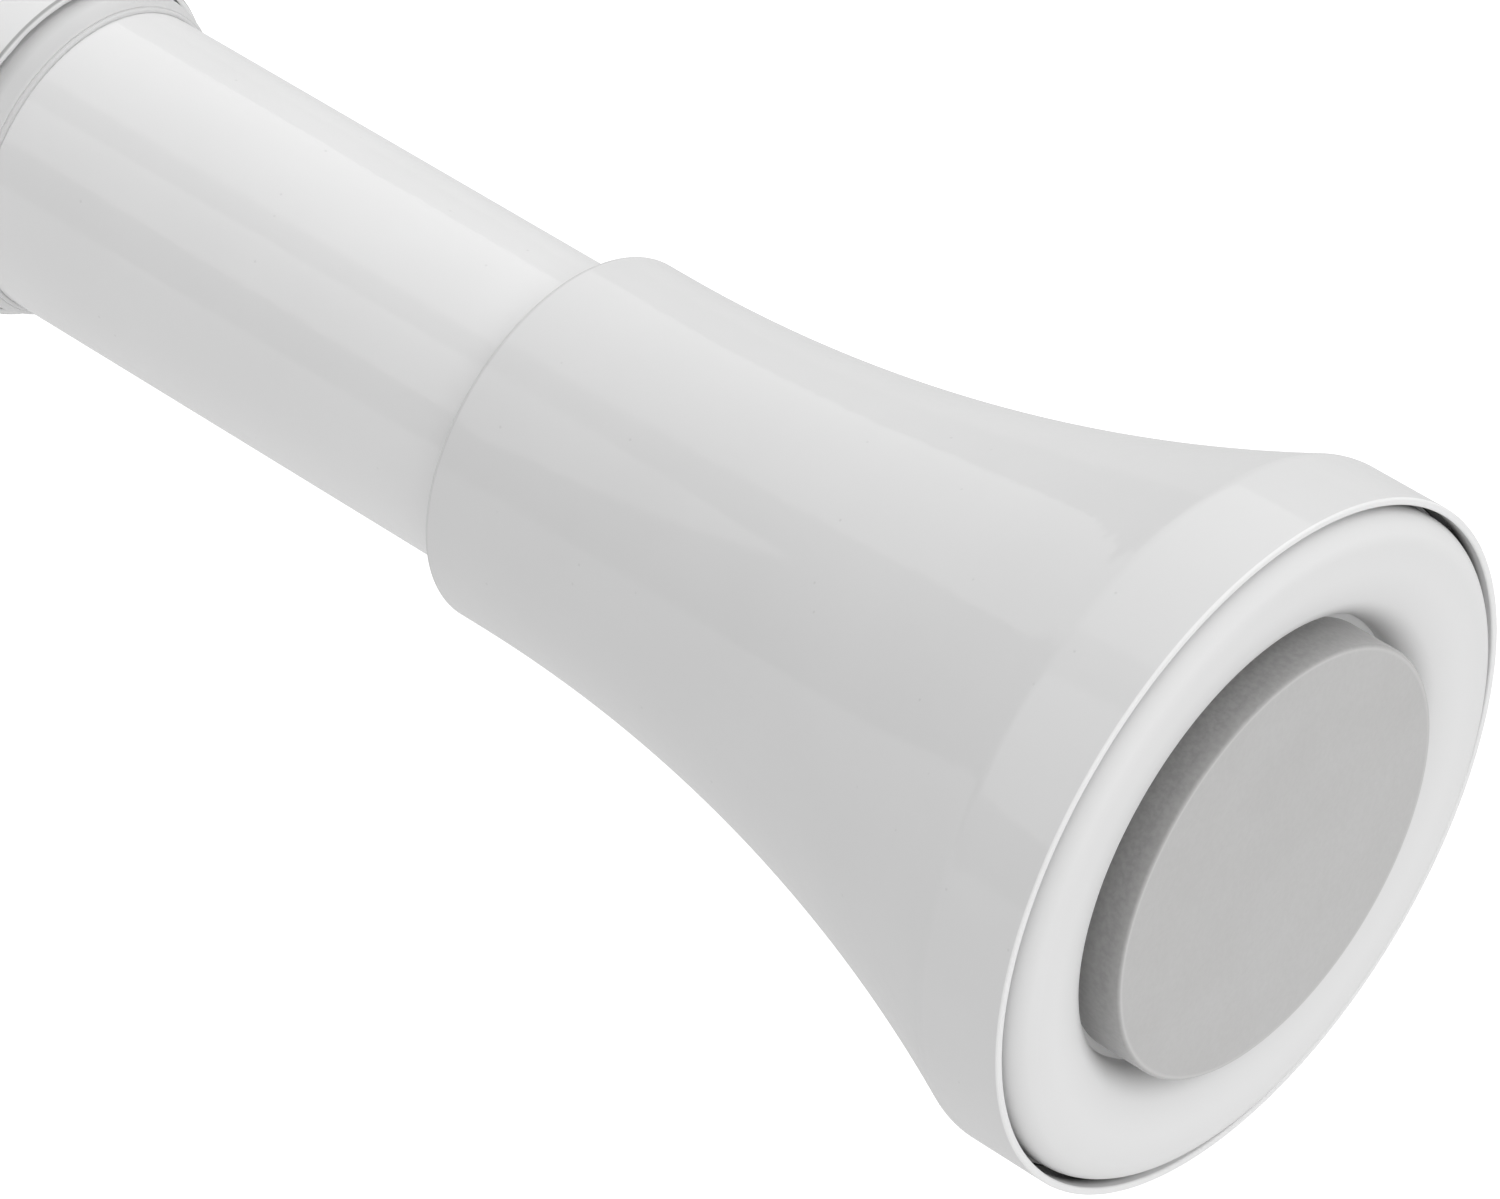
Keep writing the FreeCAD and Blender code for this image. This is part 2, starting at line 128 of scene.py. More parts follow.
# Spring
spring_wire_radius = 0.9 * mm
spring_turns = 11
spring_end_gap = 0.02 * mm
coil_steps = 48
wire_steps = 14

# How finely round pieces are divided, and from what angle on their corners are sharp
fine_steps = 240
tube_steps = 192
arc_step = math.radians(3.0)
flare_parts = 60
crown_parts = 40
collar_lip_parts = 8
sharp_angle = math.radians(32.0)

# Powder coat: its grey and its share of clear skin, on the tubes and on the bells, and the skin's roughness
tube_tone = 0.86
tube_shine = 0.657
bell_tone = 0.793
bell_shine = 0.52
skin_roughness = 0.035

# What a noise node gives stays mostly within this range
noise_low = 0.3
noise_high = 0.7

# Marks on the coat: waves or cells to a metre, depths, a pit's size, and shares of the coat's grey
mottle_spread = 0.01
mottle_waves = 90.0
gloss_waves = 700.0
gloss_smooth = 0.4
gloss_rough = 0.5
peel_waves = 620.0
peel_depth = 0.014 * mm
fine_waves = 3200.0
fine_depth = 0.0006 * mm
pit_cells = 390.0
pit_size = 0.13 * mm
pit_depth = 0.01 * mm
pit_tone = 0.6
pit_share = 0.35

# Painted shade inside a bell, in the gap behind its rim: where it starts and where it is full, from the rim
# inwards, how steeply a face must look inwards, and its grey
gap_shade_start = 0.5 * mm
gap_shade_full = 1.3 * mm
inside_slope = 0.012
inside_slope_full = 0.019
gap_shade_tone = 0.08

# Painted light on a bell's edges: how far in from the rim its painted highlight reaches and from the neck's
# end its painted shade, where it meets the tube, and over what length either fades
rim_highlight_back = 0.2 * mm
rim_highlight_soft = 0.06 * mm
rim_highlight_tone = 0.95
neck_shade_back = 0.3 * mm
neck_shade_soft = 0.1 * mm
neck_shade_tone = 0.715

# Cut mouth of the larger tube: how far back a darker ring behind it reaches and where it stops, how far in
# from the outside the painted highlight on the cut wall reaches, and over what length both fade
dark_ring_start = 0.32 * mm
dark_ring_end = 0.04 * mm
dark_ring_tone = 0.42
cut_wall_width = 0.33 * mm
cut_wall_highlight_tone = 0.97
mouth_soft = 0.08 * mm

# Collar, in lengths from the mouth: where painted shade on its nose rises and fades, and where its lip
# starts.
# Then its greys, its skin, and how much light goes into it and how far
nose_shade_foot = 0.15 * mm
nose_shade_full = 0.45 * mm
nose_shade_start = 0.7 * mm
nose_shade_end = 1.3 * mm
nose_shade_tone = 0.62
nose_lip_start = 2.0 * mm
nose_lip_end = 2.2 * mm
nose_lip_tone = 0.755
collar_pale = 0.74
collar_dark = 0.7
collar_roughness = 0.34
collar_grain_depth = 0.002 * mm
collar_milkiness = 0.35
collar_light_depth = 0.8 * mm

# Plate, in lengths from its outer edge: how far out the painted light beside the pad is full, where that
# has faded, and where the painted shade on its shoulder starts. Then its skin
plate_light_inset = 3.6 * mm
plate_light_end = 2.0 * mm
plate_light_tone = 0.905
plate_shade_inset = 1.1 * mm
plate_shade_tone = 0.8
plate_roughness = 0.34
plate_grain_depth = 0.003 * mm
plate_specular = 0.1

# Moulded plastic: its slow changes of shade, its changes of gloss and its fine skin, in waves to a metre
plastic_flow_waves = 120.0
plastic_gloss_waves = 900.0
plastic_skin_waves = 700.0

# Steel: marks to a metre across the rod, how far they are drawn out along it, and their depth
steel_marks = 2500.0
steel_marks_along = 0.1
steel_marks_depth = 0.001 * mm

# Rubber: clouds and specks to a metre, the depth of either, and its sheen and roughness
rubber_clouds = 160.0
rubber_specks = 2600.0
rubber_depth = 0.02 * mm
rubber_specular = 0.25
rubber_sheen = 0.6
rubber_sheen_roughness = 0.5
rubber_smooth = 0.6
rubber_rough = 0.72

# Pad: greys of its clouded face and of its side near the face, partly its own grey and partly painted
# shade, the grey of the painted shade further back, and the greys and shares of the flecks on its face and
# of the dust on its side
pad_cloud_dark = 0.535
pad_cloud_pale = 0.565
pad_side_tone = 0.33
pad_shade_tone = 0.26
pad_fleck_tone = 0.45
pad_fleck_share = 0.16
pad_dust_tone = 0.5
pad_dust_share = 0.2

# Pad: a painted highlight inside the edge of its face, then the side, where painted shade deepens from near
# the face towards the well behind
pad_highlight_start = 0.45 * mm
pad_highlight_full = 0.3 * mm
pad_highlight_tone = 0.605
pad_side_start = 0.02 * mm
pad_shade_start = 0.25 * mm
pad_shade_full = 1.1 * mm


def ends(node):
    """Lowest x, highest x and outer radius of a node that is round about the X axis."""
    low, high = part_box(node)
    return low.x, high.x, high.z


near_rim_x = ends("outer_bell")[0]
far_neck_x, far_rim_x, bell_rim_radius = ends("inner_bell")
bell_length = far_rim_x - far_neck_x
outer_tube_start, mouth_x, outer_tube_radius = ends("outer_tube")
inner_tube_start, inner_tube_end, inner_tube_radius = ends("inner_tube")
outer_tube_bore = outer_tube_radius - outer_tube_wall
inner_tube_bore = inner_tube_radius - inner_tube_wall
bell_neck_radius = outer_tube_radius + slide_gap + bell_wall
pad_radius = ends("inner_pad")[2]
pad_proud = ends("inner_pad")[1] - far_rim_x
plate_radius = bell_rim_radius - bell_wall - plate_gap
tube_seat_depth = far_rim_x - inner_tube_end


def on_circle(centre, radius, angle):
    """Point at an angle on a circle; angle 0 points along +X and a quarter turn outwards."""
    return (centre[0] + radius * math.cos(angle), centre[1] + radius * math.sin(angle))


def arc(centre, radius, start, end, parts=None):
    """Points along a circle from one angle to another."""
    parts = parts or max(3, round(abs(end - start) / arc_step))
    return [on_circle(centre, radius, start + (end - start) * n / parts) for n in range(parts + 1)]


def arc_through(a, b, c):
    """Points along the circle through three points, from a to c."""
    ab = Vector(b) - Vector(a)
    ac = Vector(c) - Vector(a)
    cross = 2 * (ab.x * ac.y - ab.y * ac.x)
    x = (ac.y * ab.length_squared - ab.y * ac.length_squared) / cross
    y = (ab.x * ac.length_squared - ac.x * ab.length_squared) / cross
    centre = (a[0] + x, a[1] + y)
    angles = [math.atan2(p[1] - centre[1], p[0] - centre[0]) for p in (a, b, c)]
    turn = (angles[1] - angles[0] + math.pi) % math.tau - math.pi
    rest = (angles[2] - angles[1] + math.pi) % math.tau - math.pi
    return arc(centre, math.hypot(x, y), angles[0], angles[0] + turn + rest)


def corner(x, radius, size, start):
    """Quarter round at the corner (x, radius), from the given angle on by a quarter turn."""
    toward = start + math.pi / 4
    centre = (x - math.copysign(size, math.cos(toward)), radius - math.copysign(size, math.sin(toward)))
    return arc(centre, size, start, start + math.pi / 2)


def lathe(name, outline, steps, shift=None):
    """Mesh of an outline of (x, radius) points, closed on itself and turned about the X axis."""
    points = []
    rings = []
    for x, radius in outline:
        if radius == 0.0:
            rings.append([len(points)] * steps)
            points.append((x, 0.0, 0.0))
            continue
        rings.append(range(len(points), len(points) + steps))
        for n in range(steps):
            angle = math.tau * n / steps
            at_x, at_radius = shift(x, radius, angle) if shift else (x, radius)
            points.append((at_x, -at_radius * math.cos(angle), at_radius * math.sin(angle)))
    faces = []
    for n, ring in enumerate(rings):
        after = rings[(n + 1) % len(rings)]
        for k in range(steps):
            following = (k + 1) % steps
            face = list(dict.fromkeys((ring[k], ring[following], after[following], after[k])))
            if len(face) > 2:
                faces.append(face)
    return solid(name, points, faces)


def solid(name, points, faces):
    """Object from points and faces, smooth apart from its sharp corners."""
    mesh = bpy.data.meshes.new(name)
    mesh.from_pydata(points, [], faces)
    work = bmesh.new()
    work.from_mesh(mesh)
    bmesh.ops.recalc_face_normals(work, faces=work.faces)
    work.to_mesh(mesh)
    work.free()
    mesh.shade_smooth()
    mesh.set_sharp_from_angle(angle=sharp_angle)
    piece = bpy.data.objects.new(name, mesh)
    bpy.context.scene.collection.objects.link(piece)
    return piece


def at_far_end(outline):
    """Places an end fitting's outline on the inner tube's end."""
    return [(far_rim_x + x, radius) for x, radius in outline]


def at_near_end(outline):
    """Places an end fitting's outline on the outer tube's end, facing -X."""
    return [(near_rim_x - x, radius) for x, radius in outline]


def flare():
    """Centre and radius of the circle that the bell's outer surface follows between neck and band."""
    rise = bell_rim_radius - bell_neck_radius
    run = bell_length - bell_neck_straight - bell_band
    curve = (run ** 2 + rise ** 2) / (2 * rise)
    return (bell_neck_straight - bell_length, bell_neck_radius + curve), curve


def crease():
    """Centre of the rounded crease between flare and band, and the flare's turn there."""
    centre, curve = flare()
    reach = curve + bell_crease_round
    radius = bell_rim_radius - bell_crease_round
    turn = math.acos((centre[1] - radius) / reach)
    return (centre[0] + reach * math.sin(turn), radius), turn


def bell_side(inset):
    """Curved stretch of the bell's side, from the neck to the band, set in from the outer surface."""
    centre, curve = flare()
    crease_centre, turn = crease()
    quarter = math.pi / 2
    side = arc(centre, curve + inset, -quarter, turn - quarter, flare_parts)
    return side + arc(crease_centre, bell_crease_round - inset, turn + quarter, quarter)[1:]


def bell_outline():
    """Trumpet shell with a rounded neck edge and rim."""
    neck_x = -bell_length
    bore = bell_neck_radius - bell_wall
    inside = bell_rim_radius - bell_wall
    quarter = math.pi / 2
    outline = [(neck_x, bore)]
    outline += reversed(corner(neck_x, bell_neck_radius, bell_neck_round, quarter))
    outline += bell_side(0.0)
    outline += reversed(corner(0.0, bell_rim_radius, bell_rim_round, 0.0))
    outline += reversed(corner(0.0, inside, bell_rim_round, -quarter))
    outline += reversed(bell_side(bell_wall))
    return outline


def lip_centre(crown, ledge):
    """Centre of the lip's round, tangent to the crown's circle and through the edge of the ledge."""
    gap_x = ledge[0] - crown[0]
    gap_radius = ledge[1] - crown[1]
    distance = math.hypot(gap_x, gap_radius)
    reach = plate_crown_curve - lip_round
    along = (reach ** 2 - lip_round ** 2 + distance ** 2) / (2 * distance)
    aside = math.sqrt(reach ** 2 - along ** 2)
    unit = (gap_x / distance, gap_radius / distance)
    return (crown[0] + along * unit[0] - aside * unit[1], crown[1] + along * unit[1] + aside * unit[0])


def plate_face():
    """Points of the plate's face: shoulder, crown and lip, and the ledge's edge at its end."""
    crown = (plate_proud - plate_crown_curve, plate_radius - plate_crown_inset)
    ledge = (-ledge_depth, pad_radius + ledge_width)
    reach = plate_crown_curve - plate_shoulder_round
    lean = math.asin((plate_radius - plate_shoulder_round - crown[1]) / reach)
    shoulder = on_circle(crown, reach, lean)
    lip = lip_centre(crown, ledge)
    dip = math.atan2(lip[1] - crown[1], lip[0] - crown[0])
    lip_turn = math.atan2(ledge[1] - lip[1], ledge[0] - lip[0])
    face = arc(shoulder, plate_shoulder_round, math.pi / 2, lean)
    face += arc(crown, plate_crown_curve, lean, dip, crown_parts)[1:]
    return face + arc(lip, lip_round, dip, lip_turn)[1:]


def foot_outline(tube_bore, tube_radius):
    """Plate, locating rim and hollow stem for a tube of the given size."""
    face = plate_face()
    plate_back = -ledge_depth - plate_thickness
    rim_back = crease()[0][0] + end_gap
    rim_outer = bell_rim_radius - bell_wall - slide_gap
    skirt_bore = plate_radius - foot_skirt_wall
    hub_radius = pad_radius + well_wall
    floor_back = -well_depth - well_floor
    stem_radius = tube_bore - slide_gap
    stem_end = -tube_seat_depth - stem_length
    return face + [
        (-ledge_depth, pad_radius),
        (-well_depth, pad_radius),
        (-well_depth, 0.0),
        (floor_back, 0.0),
        (floor_back, stem_radius - stem_wall),
        (stem_end, stem_radius - stem_wall),
        (stem_end, stem_radius),
        (-tube_seat_depth, stem_radius),
        (-tube_seat_depth, tube_radius),
        (floor_back, tube_radius),
        (floor_back, hub_radius),
        (plate_back, hub_radius),
        (plate_back, skirt_bore),
        (rim_back, skirt_bore),
        (rim_back, rim_outer),
        (-locating_rim_depth, rim_outer),
        (-locating_rim_depth, plate_radius),
    ]


def foot(name, outline, place):
    """Foot with its ribs, which join the well to the skirt behind the plate."""
    body = lathe(name, place(outline), fine_steps)
    plate_back = -ledge_depth - plate_thickness
    floor_back = -well_depth - well_floor
    rib_start = pad_radius + well_wall - slide_gap
    rib_end = plate_radius - foot_skirt_wall + slide_gap
    work = bmesh.new()
    work.from_mesh(body.data)
    rib = [(floor_back, rib_start), (plate_back, rib_start), (plate_back, rib_end), (floor_back, rib_end)]
    for n in range(rib_count):
        turn = Matrix.Rotation(n * math.tau / rib_count, 4, "X")
        corners = []
        for x, radius in place(rib):
            for side in (-rib_width / 2, rib_width / 2):
                corners.append(work.verts.new(turn @ Vector((x, side, radius))))
        bmesh.ops.convex_hull(work, input=corners)
    bmesh.ops.recalc_face_normals(work, faces=work.faces)
    work.to_mesh(body.data)
    work.free()
    body.data.set_sharp_from_angle(angle=sharp_angle)
    return body


def pad_outline():
    """Round rubber pad with a small round at the edge of its face."""
    face_edge = corner(pad_proud, pad_radius, pad_edge_round, 0.0)
    return [(-well_depth, 0.0), (-well_depth, pad_radius)] + face_edge[::-1] + [(pad_proud, 0.0)]


def outer_tube_outline():
    """Larger tube, with a small round outside its cut mouth."""
    mouth_edge = corner(mouth_x, outer_tube_radius, tube_edge_round, 0.0)
    start = [(outer_tube_start, outer_tube_bore), (outer_tube_start, outer_tube_radius)]
    return start + mouth_edge[::-1] + [(mouth_x, outer_tube_bore)]


def ragged_mouth(x, radius, angle):
    """Wears the inner edge of the outer tube's cut mouth unevenly."""
    if x < mouth_x or radius > outer_tube_bore + tube_edge_round:
        return x, radius
    wave_x = mouth_ragged_waves * math.cos(angle)
    wave_y = mouth_ragged_waves * math.sin(angle)
    return x, radius + mouth_ragged * (1.0 + noise.noise(Vector((wave_x, wave_y, 0.0))))


def groove(x, radius):
    """Round-bottomed groove rolled into a surface of the inner tube."""
    start = (x - groove_half_width, radius)
    end = (x + groove_half_width, radius)
    return arc_through(start, (x, radius - groove_depth), end)


def inner_tube_outline():
    """Smaller tube, with a groove rolled into its wall over the guide bush and over the spring stop."""
    bush_x = (inner_tube_start + ends("guide_bush")[1]) / 2
    stop_start, stop_end, _ = ends("spring_stop")
    stop_x = (stop_start + stop_end) / 2
    sides = []
    for radius in (inner_tube_radius, inner_tube_bore):
        side = [(inner_tube_start, radius)] + groove(bush_x, radius) + groove(stop_x, radius)
        sides.append(side + [(inner_tube_end, radius)])
    return sides[0] + sides[1][::-1]


def collar_outline():
    """Sleeve inside the outer tube, a step, a rounded nose and a thin lip on the inner tube."""
    sleeve_start, nose_end, _ = ends("mouth_collar")
    bore = inner_tube_radius + collar_fit
    sleeve = outer_tube_bore - slide_gap
    step_x = nose_end - collar_lip_length
    step_radius = inner_tube_radius + slide_gap + collar_lip_wall
    sleeve_end = mouth_x - collar_step_depth
    nose_radius = sleeve - collar_step
    nose_top = ((mouth_x + step_x) / 2, nose_radius + collar_bulge)
    nose_front = (step_x, step_radius + collar_nose_foot)
    lip_x = nose_end - collar_lip_wall
    lip_centre_radius = step_radius - collar_lip_wall
    lip_edge = arc((lip_x, lip_centre_radius), collar_lip_wall, math.pi / 2, 0.0, collar_lip_parts)
    nose = arc_through((mouth_x, nose_radius), nose_top, nose_front)
    back = [(sleeve_start, bore), (sleeve_start, sleeve), (sleeve_end, sleeve), (sleeve_end, nose_radius)]
    return back + nose + [(step_x, step_radius)] + lip_edge + [(nose_end, bore)]


def coil(name):
    """Compression spring of round wire, with a closed turn at each end."""
    low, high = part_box("main_spring")
    start = low.x + spring_wire_radius + spring_end_gap
    length = high.x - low.x - 2 * (spring_wire_radius + spring_end_gap)
    radius = high.z - spring_wire_radius
    closed = 2 * spring_wire_radius + slide_gap
    open_pitch = (length - 2 * closed) / spring_turns
    pitches = [closed] + [open_pitch] * spring_turns + [closed]
    points = []
    x = start
    for pitch in pitches:
        for n in range(coil_steps):
            points += wire_ring(x + pitch * n / coil_steps, radius, math.tau * n / coil_steps, pitch)
        x += pitch
    points += wire_ring(x, radius, 0.0, closed)
    rings = len(points) // wire_steps
    faces = [list(range(wire_steps)), list(range((rings - 1) * wire_steps, rings * wire_steps))]
    for ring in range(rings - 1):
        for k in range(wire_steps):
            a = ring * wire_steps + k
            b = ring * wire_steps + (k + 1) % wire_steps
            faces.append([a, b, b + wire_steps, a + wire_steps])
    return solid(name, points, faces)


def wire_ring(x, radius, turn, pitch):
    """Points round the spring's wire at one place, square to the wire."""
    outward = Vector((0.0, math.sin(turn), math.cos(turn)))
    along = Vector((pitch / math.tau, radius * math.cos(turn), -radius * math.sin(turn))).normalized()
    aside = along.cross(outward)
    centre = Vector((x, 0.0, 0.0)) + radius * outward
    ring = []
    for k in range(wire_steps):
        angle = math.tau * k / wire_steps
        ring.append(centre + spring_wire_radius * (math.cos(angle) * outward + math.sin(angle) * aside))
    return ring


def shader(tree, kind, **inputs):
    """Adds a shader node and sets some of its inputs."""
    made = tree.nodes.new("ShaderNode" + kind)
    for name, value in inputs.items():
        made.inputs[name].default_value = value
    return made


def blank(name):
    """New material: the material, its node tree, its surface shader and its place on the object."""
    material = bpy.data.materials.new(name)
    material.use_nodes = True
    tree = material.node_tree
    surface = tree.nodes["Principled BSDF"]
    place = tree.nodes.new("ShaderNodeTexCoord").outputs["Object"]
    return material, tree, surface, place


def stretched(tree, place, along):
    """The place, squeezed along X so that what follows it is drawn out along the rod."""
    scale = shader(tree, "Mapping", Scale=(along, 1.0, 1.0))
    tree.links.new(place, scale.inputs["Vector"])
    return scale.outputs["Vector"]


def grain(tree, place, scale, detail):
    """Noise, from 0 to 1, with so many waves to a metre."""
    made = shader(tree, "TexNoise", Scale=scale, Detail=detail)
    tree.links.new(place, made.inputs["Vector"])
    return made.outputs["Fac"]


def waves(tree, place, scale, detail, first=0.0, last=1.0):
    """Noise with so many waves to a metre, spread over the whole range from first to last."""
    return between(tree, grain(tree, place, scale, detail), noise_low, noise_high, first, last)


def spots(tree, place, scale, size):
    """Scattered small round spots: 1 in a spot's middle and 0 outside it. Their size is in metres."""
    cells = shader(tree, "TexVoronoi", Scale=scale)
    tree.links.new(place, cells.inputs["Vector"])
    return between(tree, cells.outputs["Distance"], 0.0, size * scale, 1.0, 0.0)


def between(tree, value, low, high, first, last):
    """Turns a value from low to high into one from first to last."""
    names = {"From Min": low, "From Max": high, "To Min": first, "To Max": last}
    made = shader(tree, "MapRange", **names)
    tree.links.new(value, made.inputs["Value"])
    return made.outputs["Result"]


def calculate(tree, operation, first, second=None):
    """Result of a math node on one value or two."""
    made = tree.nodes.new("ShaderNodeMath")
    made.operation = operation
    tree.links.new(first, made.inputs[0])
    if isinstance(second, float):
        made.inputs[1].default_value = second
    elif second:
        tree.links.new(second, made.inputs[1])
    return made.outputs["Value"]


def along_rod(tree, place):
    """Place along the rod."""
    split = tree.nodes.new("ShaderNodeSeparateXYZ")
    tree.links.new(place, split.inputs["Vector"])
    return split.outputs["X"]


def from_end(tree, place):
    """Distance inwards from the pad face of the nearer end of the rod, at rest."""
    half = (far_rim_x + near_rim_x) / 2
    offset = calculate(tree, "ABSOLUTE", calculate(tree, "SUBTRACT", along_rod(tree, place), half))
    return between(tree, offset, 0.0, half, half, 0.0)


def across(tree, place, operation, other=None):
    """Number from the place as seen along the axis: its length, or its product with another vector."""
    made = tree.nodes.new("ShaderNodeVectorMath")
    made.operation = operation
    tree.links.new(stretched(tree, place, 0.0), made.inputs[0])
    if other:
        tree.links.new(other, made.inputs[1])
    return made.outputs["Value"]


def tint(tree, share, first, last):
    """Colour between two, by share. Either colour may be another node's output."""
    made = tree.nodes.new("ShaderNodeMix")
    made.data_type = "RGBA"
    tree.links.new(share, made.inputs["Factor"])
    for name, colour in (("A", first), ("B", last)):
        socket = [s for s in made.inputs if s.name == name and s.type == "RGBA"][0]
        if isinstance(colour, bpy.types.NodeSocket):
            tree.links.new(colour, socket)
        else:
            socket.default_value = (*colour, 1.0)
    return [s for s in made.outputs if s.type == "RGBA"][0]


def relief(tree, surface, layers):
    """Bumps on the surface, from (height, depth in metres) layers."""
    normal = None
    for height, depth in layers:
        bump = shader(tree, "Bump", Distance=depth)
        tree.links.new(height, bump.inputs["Height"])
        if normal:
            tree.links.new(normal, bump.inputs["Normal"])
        normal = bump.outputs["Normal"]
    tree.links.new(normal, surface.inputs["Normal"])
    tree.links.new(normal, surface.inputs["Coat Normal"])


def grey(value, warmth=0.0):
    """A grey, warmer or cooler by a small share."""
    return (value * (1 + warmth), value, value * (1 - warmth))


def powder_coat(name, tone, shine):
    """Satin white powder coat: faint mottling, orange peel and a few tiny pits under a clear skin."""
    material, tree, surface, place = blank(name)
    surface.inputs["Specular IOR Level"].default_value = 0.0
    surface.inputs["Coat Weight"].default_value = shine
    surface.inputs["Coat Roughness"].default_value = skin_roughness
    mottle = waves(tree, place, mottle_waves, 3.0)
    pits = spots(tree, place, pit_cells, pit_size)
    coat = tint(tree, mottle, grey(tone * (1 - mottle_spread)), grey(tone * (1 + mottle_spread)))
    colour = tint(tree, between(tree, pits, 0.0, 1.0, 0.0, pit_share), coat, grey(tone * pit_tone))
    tree.links.new(colour, surface.inputs["Base Color"])
    gloss = waves(tree, place, gloss_waves, 2.0, gloss_smooth, gloss_rough)
    tree.links.new(gloss, surface.inputs["Roughness"])
    peel = grain(tree, place, peel_waves, 1.0)
    fine = grain(tree, place, fine_waves, 1.0)
    relief(tree, surface, [(peel, peel_depth), (fine, fine_depth), (pits, -pit_depth)])
    return material


def opened(material):
    """A finish's node tree, its surface shader, its colour, and places and normals on the object."""
    tree = material.node_tree
    surface = tree.nodes["Principled BSDF"]
    colour = surface.inputs["Base Color"].links[0].from_socket
    return tree, surface, colour, tree.nodes.new("ShaderNodeTexCoord").outputs


def mouth_coat(name, tone, shine):
    """Powder coat of the larger tube: a darker ring behind its cut mouth, and a painted highlight on its
    cut wall.
    """
    material = powder_coat(name, tone, shine)
    tree, surface, coat, on_object = opened(material)
    x = along_rod(tree, on_object["Object"])
    # A darker ring on the coat just behind the cut mouth.
    start = mouth_x - dark_ring_start
    end = mouth_x - dark_ring_end
    behind = between(tree, x, start, start + mouth_soft, 0.0, 1.0)
    before = between(tree, x, end - mouth_soft, end, 1.0, 0.0)
    dark_ring = tint(tree, calculate(tree, "MULTIPLY", behind, before), coat, grey(dark_ring_tone))
    # Painted highlight on the outer part of the cut wall.
    radius = across(tree, on_object["Object"], "LENGTH")
    wall_radius = outer_tube_radius - cut_wall_width
    wall = between(tree, radius, wall_radius - mouth_soft, wall_radius, 0.0, 1.0)
    front = between(tree, x, end, mouth_x - dark_ring_end / 2, 0.0, 1.0)
    cut_highlight = calculate(tree, "MULTIPLY", wall, front)
    tree.links.new(tint(tree, cut_highlight, dark_ring, grey(cut_wall_highlight_tone)), surface.inputs["Base Color"])
    return material


def bell_coat(name, tone, shine):
    """Powder coat with a painted highlight on the bell's rim, painted shade on its neck's edge and inside
    it behind the rim.
    """
    material = powder_coat(name, tone, shine)
    tree, surface, coat, on_object = opened(material)
    # Painted shade on the bell's inside faces behind the rim, in the gap before the plate.
    facing = across(tree, on_object["Object"], "DOT_PRODUCT", on_object["Normal"])
    inside = between(tree, facing, -inside_slope_full, -inside_slope, 1.0, 0.0)
    depth = from_end(tree, on_object["Object"])
    deep = between(tree, depth, pad_proud + gap_shade_start, pad_proud + gap_shade_full, 0.0, 1.0)
    gap_shade = calculate(tree, "MULTIPLY", inside, deep)
    # Painted highlight near the rim, and painted shade at the neck's end where it meets the tube.
    rim_highlight_edge = pad_proud + rim_highlight_back
    rim = between(tree, depth, rim_highlight_edge - rim_highlight_soft, rim_highlight_edge, 1.0, 0.0)
    neck_shade_edge = pad_proud + bell_length - neck_shade_back
    neck = between(tree, depth, neck_shade_edge - neck_shade_soft, neck_shade_edge, 0.0, 1.0)
    edged = tint(tree, neck, tint(tree, rim, coat, grey(rim_highlight_tone)), grey(neck_shade_tone))
    tree.links.new(tint(tree, gap_shade, edged, grey(gap_shade_tone)), surface.inputs["Base Color"])
    return material


def moulded(name, colour, darker, roughness, depth, specular=0.4):
    """Moulded plastic with slow shade changes and a fine skin."""
    material, tree, surface, place = blank(name)
    surface.inputs["Specular IOR Level"].default_value = specular
    flow = waves(tree, place, plastic_flow_waves, 3.0)
    tree.links.new(tint(tree, flow, darker, colour), surface.inputs["Base Color"])
    gloss = waves(tree, place, plastic_gloss_waves, 2.0, roughness * 0.9, roughness * 1.1)
    tree.links.new(gloss, surface.inputs["Roughness"])
    relief(tree, surface, [(grain(tree, place, plastic_skin_waves, 1.0), depth)])
    return material


def plate_satin(name, colour, darker):
    """Moulded plate, with painted light beside the pad and painted shade on its shoulder."""
    material = moulded(name, colour, darker, plate_roughness, plate_grain_depth, plate_specular)
    tree, surface, plain, on_object = opened(material)
    # Painted light beside the pad, and painted shade on the shoulder beside the rim.
    radius = across(tree, on_object["Object"], "LENGTH")
    painted_light = between(tree, radius, plate_radius - plate_light_inset, plate_radius - plate_light_end, 1.0, 0.0)
    shoulder_shade = between(tree, radius, plate_radius - plate_shade_inset, plate_radius, 0.0, 1.0)
    inner = tint(tree, painted_light, plain, grey(plate_light_tone))
    tree.links.new(tint(tree, shoulder_shade, inner, grey(plate_shade_tone)), surface.inputs["Base Color"])
    return material


def milky(name):
    """Milky collar plastic: light spreads a little way into it. Painted shade darkens its nose beside the
    tube's mouth.
    """
    material = moulded(name, grey(collar_pale), grey(collar_dark), collar_roughness, collar_grain_depth)
    tree, surface, plain, on_object = opened(material)
    x = along_rod(tree, on_object["Object"])
    # Painted shade on the nose, beside the tube's cut wall.
    rise = between(tree, x, mouth_x + nose_shade_foot, mouth_x + nose_shade_full, 0.0, 1.0)
    fall = between(tree, x, mouth_x + nose_shade_start, mouth_x + nose_shade_end, 1.0, 0.0)
    shaded = tint(tree, calculate(tree, "MULTIPLY", rise, fall), plain, grey(nose_shade_tone))
    lip = between(tree, x, mouth_x + nose_lip_start, mouth_x + nose_lip_end, 0.0, 1.0)
    tree.links.new(tint(tree, lip, shaded, grey(nose_lip_tone)), surface.inputs["Base Color"])
    surface.inputs["Subsurface Weight"].default_value = collar_milkiness
    surface.inputs["Subsurface Radius"].default_value = (1.0, 1.0, 1.0)
    surface.inputs["Subsurface Scale"].default_value = collar_light_depth
    return material


